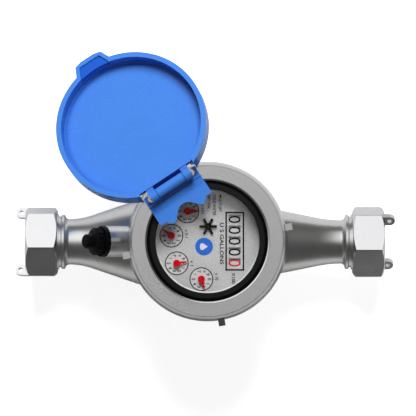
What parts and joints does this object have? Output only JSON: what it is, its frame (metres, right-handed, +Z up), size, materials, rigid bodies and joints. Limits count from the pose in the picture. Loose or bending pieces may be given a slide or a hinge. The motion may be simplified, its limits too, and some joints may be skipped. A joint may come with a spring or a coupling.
{
  "type": "water meter",
  "caption": "Multi-jet water meter with a stainless body, union nuts, a round dial under glass with hands and number wheels, and a blue hinged lid.",
  "frame": {"origin": "middle of the flat base, under the dial's axis", "axes": "+Z up through the dial, +X along the flow from inlet to outlet"},
  "size_m": [0.2286, 0.1633, 0.1112],
  "materials": {
    "cast_stainless": "fine blasted casting, semi-gloss",
    "satin_stainless": "satin machined",
    "polished_stainless": "polished flats",
    "mesh_stainless": "perforated sheet",
    "pressed_steel": "plain pressed",
    "pin_steel": "ground",
    "chamber_plastic": "moulded, matte",
    "impeller_plastic": "moulded, matte",
    "movement_plastic": "moulded, matte",
    "copper_can": "drawn copper",
    "magnet_ferrite": "sintered",
    "dial_face": "silver lacquer with fine sparkle",
    "register_glass": "clear, flat",
    "black_rubber": "moulded, low sheen",
    "black_plastic": "moulded, semi-gloss",
    "star_plastic": "moulded, matte",
    "hand_red": "red, matte",
    "wheel_white": "white, printed",
    "blue_plastic": "moulded, semi-gloss"
  },
  "bodies": {
    "meter": {"body": "cast_stainless", "inlet_strainer": "mesh_stainless", "measuring_chamber": "chamber_plastic", "chamber_cover": "chamber_plastic", "pivot_pin": "pin_steel", "plate_gasket": "black_rubber", "pressure_plate": "pressed_steel", "register_case": "copper_can", "movement_block": "movement_plastic", "counter_axle": "pin_steel", "dial_plate": "dial_face", "glass": "register_glass", "bezel_gasket": "black_rubber", "head_ring": "satin_stainless", "hinge_plate": "blue_plastic", "hinge_pin": "pin_steel", "hinge_rivets": "pin_steel", "regulating_screw": "pin_steel", "regulator_cap": "black_plastic", "inlet_nut": "polished_stainless", "outlet_nut": "polished_stainless", "inlet_washer": "black_rubber", "outlet_washer": "black_rubber"},
    "lid": {"lid": "blue_plastic"},
    "impeller": {"impeller": "impeller_plastic", "drive_magnet": "magnet_ferrite"},
    "follower": {"follower_magnet": "magnet_ferrite", "follower_spindle": "pin_steel"},
    "star": {"flow_star": "star_plastic"},
    "hand_hundredths": {"hand_hundredths": "hand_red"},
    "hand_tenths": {"hand_tenths": "hand_red"},
    "hand_units": {"hand_units": "hand_red"},
    "hand_tens": {"hand_tens": "hand_red"},
    "wheel_1": {"number_wheel_1": "wheel_white"},
    "wheel_2": {"number_wheel_2": "wheel_white"},
    "wheel_3": {"number_wheel_3": "wheel_white"},
    "wheel_4": {"number_wheel_4": "wheel_white"},
    "wheel_5": {"number_wheel_5": "wheel_white"}
  },
  "joints": [
    {"name": "lid_hinge", "type": "hinge", "parent": "meter", "child": "lid", "pos_m": [-0.02163, 0.03281, 0.1042], "axis": [0.8348, 0.5505, 0], "range_deg": [0, 198]},
    {"name": "impeller_spin", "type": "hinge", "parent": "meter", "child": "impeller", "pos_m": [0, 0, 0.025], "axis": [0, 0, 1], "continuous": true},
    {"name": "follower_spin", "type": "hinge", "parent": "meter", "child": "follower", "pos_m": [0, 0, 0.062], "axis": [0, 0, 1], "continuous": true},
    {"name": "star_spin", "type": "hinge", "parent": "meter", "child": "star", "pos_m": [0.0004, 0.0087, 0.083], "axis": [0, 0, 1], "continuous": true},
    {"name": "hundredths_spin", "type": "hinge", "parent": "meter", "child": "hand_hundredths", "pos_m": [-0.0119, 0.0177, 0.083], "axis": [0, 0, 1], "continuous": true},
    {"name": "tenths_spin", "type": "hinge", "parent": "meter", "child": "hand_tenths", "pos_m": [-0.0214, 0.0033, 0.083], "axis": [0, 0, 1], "continuous": true},
    {"name": "units_spin", "type": "hinge", "parent": "meter", "child": "hand_units", "pos_m": [-0.0182, -0.0131, 0.083], "axis": [0, 0, 1], "continuous": true},
    {"name": "tens_spin", "type": "hinge", "parent": "meter", "child": "hand_tens", "pos_m": [-0.0036, -0.0225, 0.083], "axis": [0, 0, 1], "continuous": true},
    {"name": "wheel_1_spin", "type": "hinge", "parent": "meter", "child": "wheel_1", "pos_m": [0.0161, 0.01292, 0.0708], "axis": [0, 1, 0], "continuous": true},
    {"name": "wheel_2_spin", "type": "hinge", "parent": "meter", "child": "wheel_2", "pos_m": [0.0161, 0.00646, 0.0708], "axis": [0, 1, 0], "continuous": true},
    {"name": "wheel_3_spin", "type": "hinge", "parent": "meter", "child": "wheel_3", "pos_m": [0.0161, 0, 0.0708], "axis": [0, 1, 0], "continuous": true},
    {"name": "wheel_4_spin", "type": "hinge", "parent": "meter", "child": "wheel_4", "pos_m": [0.0161, -0.00646, 0.0708], "axis": [0, 1, 0], "continuous": true},
    {"name": "wheel_5_spin", "type": "hinge", "parent": "meter", "child": "wheel_5", "pos_m": [0.0161, -0.01292, 0.0708], "axis": [0, 1, 0], "continuous": true}
  ],
  "couplings": [
    {"joint": "follower_spin", "follows": "impeller_spin", "ratio": 1},
    {"joint": "star_spin", "follows": "impeller_spin", "ratio": -0.25},
    {"joint": "hundredths_spin", "follows": "impeller_spin", "ratio": -0.1},
    {"joint": "tenths_spin", "follows": "impeller_spin", "ratio": -0.01},
    {"joint": "units_spin", "follows": "impeller_spin", "ratio": -0.001},
    {"joint": "tens_spin", "follows": "impeller_spin", "ratio": -0.0001},
    {"joint": "wheel_1_spin", "follows": "impeller_spin", "ratio": 0.000000001},
    {"joint": "wheel_2_spin", "follows": "impeller_spin", "ratio": 0.00000001},
    {"joint": "wheel_3_spin", "follows": "impeller_spin", "ratio": 0.0000001},
    {"joint": "wheel_4_spin", "follows": "impeller_spin", "ratio": 0.000001},
    {"joint": "wheel_5_spin", "follows": "impeller_spin", "ratio": 0.00001}
  ]
}
